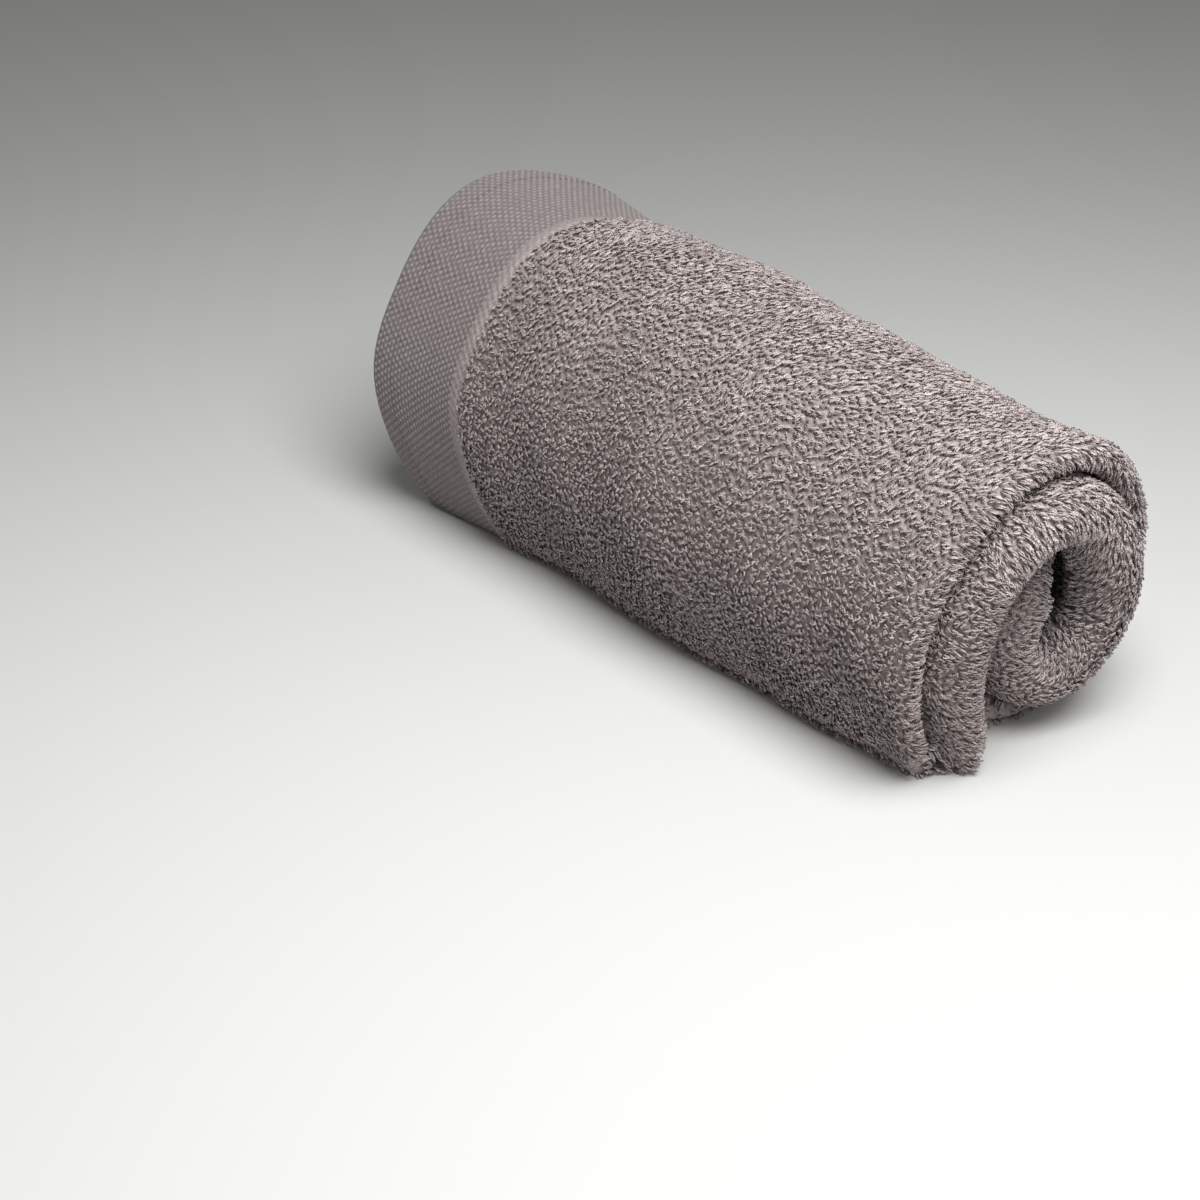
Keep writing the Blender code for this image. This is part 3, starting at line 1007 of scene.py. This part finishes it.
def add_weave(look, band, random):
    """Columns of floats, each column half a period on from the last."""
    lines = [
        band.line(look.period * (0.5 + 0.5 * (number % 2)), look.period, (number + 0.5) * look.column)
        for number in range(int((band.width - PLAIN_STRIP) / look.column))
    ]
    roots, across, up, along = band.surface.at(*(np.concatenate(found) for found in zip(*lines)))
    shape, faces = float_pad()
    sizes = np.array([FLOAT_WIDTH * look.column, FLOAT_LENGTH * look.period, look.relief])
    shapes = shape * sizes * (FLOAT_LEAST + FLOAT_SPREAD * random.random((len(roots), 1, 3)))
    picked = shape[np.array(faces).ravel()]
    tone = np.clip(0.5 + FLOAT_SCATTER * random.standard_normal(len(roots)), *TONE_LIMITS)
    maps = {
        "OFBake": shades_of(tone, picked[:, 0], np.clip(picked[:, 2], 0.0, 1.0)),
        "yarn": np.broadcast_to(picked[:, :2] / 2 + 0.5, (len(roots), len(picked), 2)),
    }
    return joined("border_weave", laid_lines(shapes, roots, across, along, up), faces, maps)


def add_seam(look, band):
    """The hem's stitches, one after the other."""
    spots = band.line(look.stitch / 2, look.stitch, STITCH_BACK)
    roots, across, up, along = band.surface.at(*spots)
    line = laid_lines(STITCH, roots + up * look.relief / 2, along, across, up)
    points = yarn_points(line, across, np.full(len(roots), SEAM_YARN))
    faces, corners = yarn_faces(len(STITCH))
    shades = np.array([SEAM_TONE[0], SEAM_CROWN[0]]) + corners * (SEAM_TONE[1], SEAM_CROWN[1])
    maps = {
        name: np.broadcast_to(values, (len(roots), *corners.shape))
        for name, values in (("OFBake", shades), ("yarn", corners))
    }
    return joined("hem_seam", points, faces, maps)


class TOWEL_OT_border(bpy.types.Operator):
    """Adds the floats of the border's weave and the seam of its hem"""

    bl_idname = "towel.border"
    bl_label = "Border"

    def execute(self, context):
        look = context.scene.towel_border
        random = np.random.default_rng(look.seed)
        path = winding_path(STATIONS)
        band = Band(steps_of(path, np.flatnonzero(path.angle[:, 0] < OUTER_ANGLE)))
        finish = border_material(look)
        settle(add_weave(look, band, random), finish)
        settle(add_seam(look, band), finish)
        return {"FINISHED"}


class TOWEL_OT_declare(bpy.types.Operator):
    """Finds the cloth and the other shown pieces; nothing more is done with them"""

    bl_idname = "towel.declare"
    bl_label = "Declare the sheet"

    def execute(self, context):
        cloth = bpy.data.objects["towel_cloth"]
        others = [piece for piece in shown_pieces() if piece != cloth]
        return {"FINISHED"}


def add_floor(look):
    """A plain floor that darkens with the distance behind the roll, as painted shade."""
    bpy.ops.object.select_all(action="DESELECT")
    bpy.ops.mesh.primitive_plane_add(size=FLOOR_SIZE)
    floor = bpy.context.object
    floor.name = "studio_floor"
    material = bpy.data.materials.new("pale_floor")
    material.use_nodes = True
    tree = material.node_tree
    shader = tree.nodes["Principled BSDF"]
    shader.inputs["Roughness"].default_value = 0.9
    shader.inputs["Specular IOR Level"].default_value = 0.1
    where = node(tree, "ShaderNodeTexCoord", {}, {}, output="Object")
    x, y = parts_of(tree, where)
    away = y * cos(look.azimuth) - x * sin(look.azimuth)
    # painted shade: the floor darkens further behind the roll
    colour = mixed(tree, away.between(*FLOOR_SHADE_FADE), (*look.floor, 1.0), (*look.far_floor_shade, 1.0))
    tree.links.new(colour.socket, shader.inputs["Base Color"])
    floor.data.materials.append(material)
    floor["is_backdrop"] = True


def add_light(light, power):
    """A round soft light, aimed at the roll."""
    lamp = bpy.data.lights.new(light.name, "AREA")
    lamp.shape = "DISK"
    lamp.size = light.size
    lamp.energy = power
    holder = bpy.data.objects.new(light.name, lamp)
    holder.location = light.place
    aim = Vector(LIT_POINT) - Vector(light.place)
    holder.rotation_euler = aim.to_track_quat("-Z", "Y").to_euler()
    bpy.context.scene.collection.objects.link(holder)


def set_sky(look):
    """The even light from all round."""
    world = bpy.data.worlds.new("studio")
    world.use_nodes = True
    background = world.node_tree.nodes["Background"]
    background.inputs["Color"].default_value = SKY_COLOUR
    background.inputs["Strength"].default_value = look.sky
    bpy.context.scene.world = world
    bpy.context.scene.view_settings.view_transform = "Standard"


def add_camera(look):
    """The camera, turned round the roll by its azimuth and looking down by its elevation."""
    camera = bpy.data.cameras.new("camera")
    camera.lens = look.lens
    holder = bpy.data.objects.new("camera", camera)
    turn, rise = look.azimuth, look.elevation
    right = Vector((cos(turn), sin(turn), 0.0))
    back = Vector((sin(turn) * cos(rise), -cos(turn) * cos(rise), sin(rise)))
    axes = Matrix((right, back.cross(right), back)).transposed().to_4x4()
    axes.translation = look.place
    holder.matrix_world = axes
    bpy.context.scene.collection.objects.link(holder)
    bpy.context.scene.camera = holder


class TOWEL_OT_stage(bpy.types.Operator):
    """Adds the floor, the soft lights and the camera"""

    bl_idname = "towel.stage"
    bl_label = "Stage"

    def execute(self, context):
        look = context.scene.towel_stage
        add_floor(look)
        for light in LIGHTS:
            add_light(light, getattr(look, light.power))
        set_sky(look)
        add_camera(look)
        return {"FINISHED"}


class TOWEL_PT_panel(bpy.types.Panel):
    """The towel's sizes, colours and pieces"""

    bl_idname = "TOWEL_PT_panel"
    bl_label = "Rolled bath towel"
    bl_space_type = "VIEW_3D"
    bl_region_type = "UI"
    bl_category = "Towel"

    def draw(self, context):
        for group, operators in PANEL_ROWS:
            box = self.layout.box()
            settings = getattr(context.scene, group)
            for name in type(settings).__annotations__:
                box.prop(settings, name)
            for operator in operators:
                box.operator(operator)


PANEL_ROWS = (
    ("towel_pile", ("towel.cloth", "towel.pile")),
    ("towel_border", ("towel.border", "towel.declare")),
    ("towel_stage", ("towel.stage",)),
)
GROUPS = (("towel_pile", TowelPile), ("towel_border", TowelBorder), ("towel_stage", TowelStage))
CLASSES = (
    TowelPile, TowelBorder, TowelStage, TOWEL_OT_cloth, TOWEL_OT_pile, TOWEL_OT_border, TOWEL_OT_declare,
    TOWEL_OT_stage, TOWEL_PT_panel,
)


def register():
    for kind in CLASSES:
        bpy.utils.register_class(kind)
    for name, group in GROUPS:
        setattr(bpy.types.Scene, name, PointerProperty(type=group))


def unregister():
    for name, _ in GROUPS:
        delattr(bpy.types.Scene, name)
    for kind in reversed(CLASSES):
        bpy.utils.unregister_class(kind)


def main():
    register()
    bpy.ops.towel.cloth()
    bpy.ops.towel.pile()
    bpy.ops.towel.border()
    bpy.ops.towel.declare()
    bpy.ops.towel.stage()


if __name__ == "__main__":
    main()
